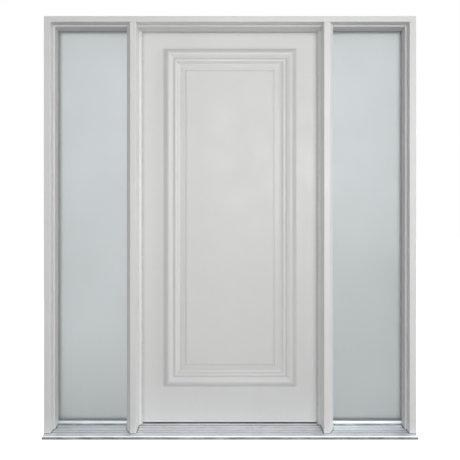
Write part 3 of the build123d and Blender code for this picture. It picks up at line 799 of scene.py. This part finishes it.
etched_glass = glass(
    "etched_glass", (0.73, 0.755, 0.77), rough_low=0.52, rough_high=0.6,
    speckle_scale=2200.0, speckle_depth=0.00004,
)
float_glass = glass(
    "float_glass", (0.95, 0.98, 0.97), rough_low=0.01, rough_high=0.03,
    speckle_scale=40.0, speckle_depth=0.000002,
)
finish_nodes(etched_glass, "pane_outer_left", "pane_outer_right")
finish_nodes(float_glass, "pane_inner_left", "pane_inner_right")

# %% [markdown]
# ## Screws
#
# A hinge plate is fixed by countersunk screws that sit almost flush with it, in two
# staggered rows, and the threshold cap by a row of larger ones. They show when the door
# stands open.
# A head could be a full threaded screw, but only its face is seen, so it is a shallow
# cone with a sunk drive. One function adds a head to a bmesh at any place and direction.
# The heads on the frame, those on the leaf and those on the cap are one mesh each.

# %% A screw head
HEAD_SEGMENTS = 20
HEAD_RIM = 0.0006
HEAD_TAPER = 0.9
DRIVE_SHARE = 0.48
DRIVE_DEPTH = 0.8 * HEAD_RIM
DRIVE_TAPER = 0.7


def add_screw(form, place, way, radius):
    """A countersunk head standing a hair proud of the face at a place, facing a way."""
    made = bmesh.ops.create_cone(
        form, cap_ends=True, segments=HEAD_SEGMENTS,
        radius1=radius, radius2=radius * HEAD_TAPER, depth=2 * HEAD_RIM,
    )
    head_verts = list(made["verts"])
    head_faces = {face for vert in head_verts for face in vert.link_faces}
    top = max(head_faces, key=lambda face: face.calc_center_median().z)
    bmesh.ops.inset_region(form, faces=[top], thickness=radius * (1.0 - DRIVE_SHARE), depth=0.0)
    sunk = bmesh.ops.extrude_face_region(form, geom=[top])
    floor_verts = [item for item in sunk["geom"] if isinstance(item, bmesh.types.BMVert)]
    bmesh.ops.delete(form, geom=[top], context="FACES_ONLY")
    bmesh.ops.translate(form, verts=floor_verts, vec=(0.0, 0.0, -DRIVE_DEPTH))
    bmesh.ops.scale(form, verts=floor_verts, vec=(DRIVE_TAPER, DRIVE_TAPER, 1.0))
    reached = set(head_verts) | set(floor_verts)
    for vert in list(reached):
        reached.update(edge.other_vert(vert) for edge in vert.link_edges)
    turn = Vector((0.0, 0.0, 1.0)).rotation_difference(Vector(way)).to_matrix().to_4x4()
    bmesh.ops.transform(form, matrix=Matrix.Translation(place) @ turn, verts=list(reached))


def screws_piece(name, spots, way, radius, body):
    """One mesh of screw heads at several places."""
    def build(form):
        for spot in spots:
            add_screw(form, spot, way, radius)
    piece = own_mesh(name, build)
    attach(piece, body)
    piece.data.materials.append(hinge_steel)
    print(name, len(spots), "heads,", len(piece.data.polygons), "faces")


# %% Screw the hinges and the cap
HINGE_SCREW = 0.0042
CAP_SCREW = 0.0050
STAGGERED = ((0.14, 0.30), (0.38, 0.62), (0.62, 0.62), (0.86, 0.30))
CAP_SCREW_INSET = 0.034
CAP_SCREW_SHARES = (-0.78, -0.26, 0.26, 0.78)


def plate_spots(node, face_x):
    """Four staggered places on the part of a hinge plate that lies in its pocket."""
    low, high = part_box(node)
    leaf_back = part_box("skin_inner")[1][1]
    depth = leaf_back - low[1]
    tall = high[2] - low[2]
    return [(face_x, low[1] + depth * across, low[2] + tall * up) for up, across in STAGGERED]


cap_low, cap_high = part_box("threshold_cap")
frame_plate_x = cap_low[0]
leaf_plate_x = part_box("stile_hinge")[0][0]
frame_spots = []
leaf_spots = []
for height_name in ("top", "middle", "bottom"):
    frame_spots += plate_spots(f"hinge_{height_name}_frame", frame_plate_x)
    leaf_spots += plate_spots(f"hinge_{height_name}_leaf", leaf_plate_x)
screws_piece("hinge_screws_frame", frame_spots, (1.0, 0.0, 0.0), HINGE_SCREW, "frame")
screws_piece("hinge_screws_leaf", leaf_spots, (-1.0, 0.0, 0.0), HINGE_SCREW, "leaf")
cap_spots = [
    (cap_high[0] * share, cap_low[1] + CAP_SCREW_INSET, cap_high[2]) for share in CAP_SCREW_SHARES
]
screws_piece("cap_screws", cap_spots, (0.0, 0.0, 1.0), CAP_SCREW, "frame")

# %% [markdown]
# ## Sealant
#
# A fitter runs a bead of sealant where the side light's bottom rail meets the sill, and
# the factory runs a finer one between the indoor beads and the glass. Such a bead is a
# round string pressed into a corner, a little uneven from the hand. It could be a curve
# with a bevel; here a circle is extruded step by step and each ring is nudged, which
# leaves a clean closed mesh.


# %% Run a bead of sealant
BEAD_SEGMENTS = 10
SWELL = 0.10


def add_bead(form, start, end, radius, step, wobble):
    """A closed string from start to end, its rings moved sideways and scaled by a slow wave."""
    start, end = Vector(start), Vector(end)
    run = end - start
    rings = max(2, round(run.length / step))
    way = run.normalized()
    side = way.orthogonal().normalized()
    turn = Vector((0.0, 0.0, 1.0)).rotation_difference(way).to_matrix().to_4x4()
    made = bmesh.ops.create_circle(form, cap_ends=True, segments=BEAD_SEGMENTS, radius=radius)
    ring = list(made["verts"])
    bmesh.ops.transform(form, matrix=Matrix.Translation(start) @ turn, verts=ring)
    face = next(iter(set.intersection(*({*vert.link_faces} for vert in ring))))
    faces = [face]
    for index in range(1, rings + 1):
        grown = bmesh.ops.extrude_face_region(form, geom=faces)
        ring = [item for item in grown["geom"] if isinstance(item, bmesh.types.BMVert)]
        if index > 1:
            bmesh.ops.delete(form, geom=faces, context="FACES_ONLY")
        faces = [item for item in grown["geom"] if isinstance(item, bmesh.types.BMFace)]
        bmesh.ops.translate(form, verts=ring, vec=run / rings)
        middle = sum((vert.co for vert in ring), Vector()) / len(ring)
        swell = 1.0 + SWELL * math.sin(index * 1.7) * math.sin(index * 0.37)
        bmesh.ops.scale(form, verts=ring, vec=(swell,) * 3, space=Matrix.Translation(-middle))
        aim = start + run * index / rings + side * wobble * math.sin(index * 0.9)
        bmesh.ops.translate(form, verts=ring, vec=aim - middle)


# %% Mix the sealant
SEALANT_GREY = (0.55, 0.56, 0.565)
SMEAR_DEPTH = 0.0001
sealant, paste, paste_skin = start_finish("sealant", Specular_IOR_Level=0.45)
paste_at = new_node(paste, "ShaderNodeTexCoord").outputs["Object"]
paste_tone = remap(paste, noise_on(paste, paste_at, 45.0, 4.0), 0.9, 1.05)
paste_grey = new_node(paste, "ShaderNodeVectorMath", operation="SCALE")
paste_grey.inputs[0].default_value = SEALANT_GREY
link(paste, paste_tone, paste_grey.inputs["Scale"])
link(paste, paste_grey.outputs[0], paste_skin.inputs["Base Color"])
link(paste, remap(paste, noise_on(paste, paste_at, 90.0, 3.0), 0.4, 0.55), paste_skin.inputs["Roughness"])
raise_relief(paste, noise_on(paste, paste_at, 400.0, 2.0), paste_skin, SMEAR_DEPTH)

# %% Seal both side lights
FOOT_BEAD = 0.0022
FOOT_STEP = 0.012
FOOT_WOBBLE = 0.0002
FOOT_STANDOFF = 0.0006
GASKET_OVER_DECK = 0.0221
GLASS_BEAD = 0.0013
GLASS_STEP = 0.02
GLASS_WOBBLE = 0.00015


def seal_piece(name, corners, radius, step, wobble, closed):
    """One mesh of sealant from corner to corner, back to the first where it is closed."""
    ends = corners[1:] + corners[:1] if closed else corners[1:]

    def build(form):
        for start, end in zip(corners, ends):
            add_bead(form, start, end, radius, step, wobble)
    piece = own_mesh(name, build)
    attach(piece, "frame")
    piece.data.materials.append(sealant)
    print(name, len(piece.data.polygons), "faces")


for side in ("left", "right"):
    light_low, light_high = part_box(f"gasket_{side}")
    stop_low, stop_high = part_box(f"bead_ends_{side}")
    foot_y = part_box(f"light_rail_{side}")[0][1] - FOOT_STANDOFF
    deck = light_low[2] - GASKET_OVER_DECK
    foot_ends = [(stop_low[0], foot_y, deck), (stop_high[0], foot_y, deck)]
    seal_piece(f"foot_sealant_{side}", foot_ends, FOOT_BEAD, FOOT_STEP, FOOT_WOBBLE, closed=False)
    inner_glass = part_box(f"pane_inner_{side}")[1][1]
    glass_corners = [
        (light_low[0], inner_glass, light_low[2]), (light_high[0], inner_glass, light_low[2]),
        (light_high[0], inner_glass, light_high[2]), (light_low[0], inner_glass, light_high[2]),
    ]
    seal_piece(f"glazing_sealant_{side}", glass_corners, GLASS_BEAD, GLASS_STEP, GLASS_WOBBLE, closed=True)
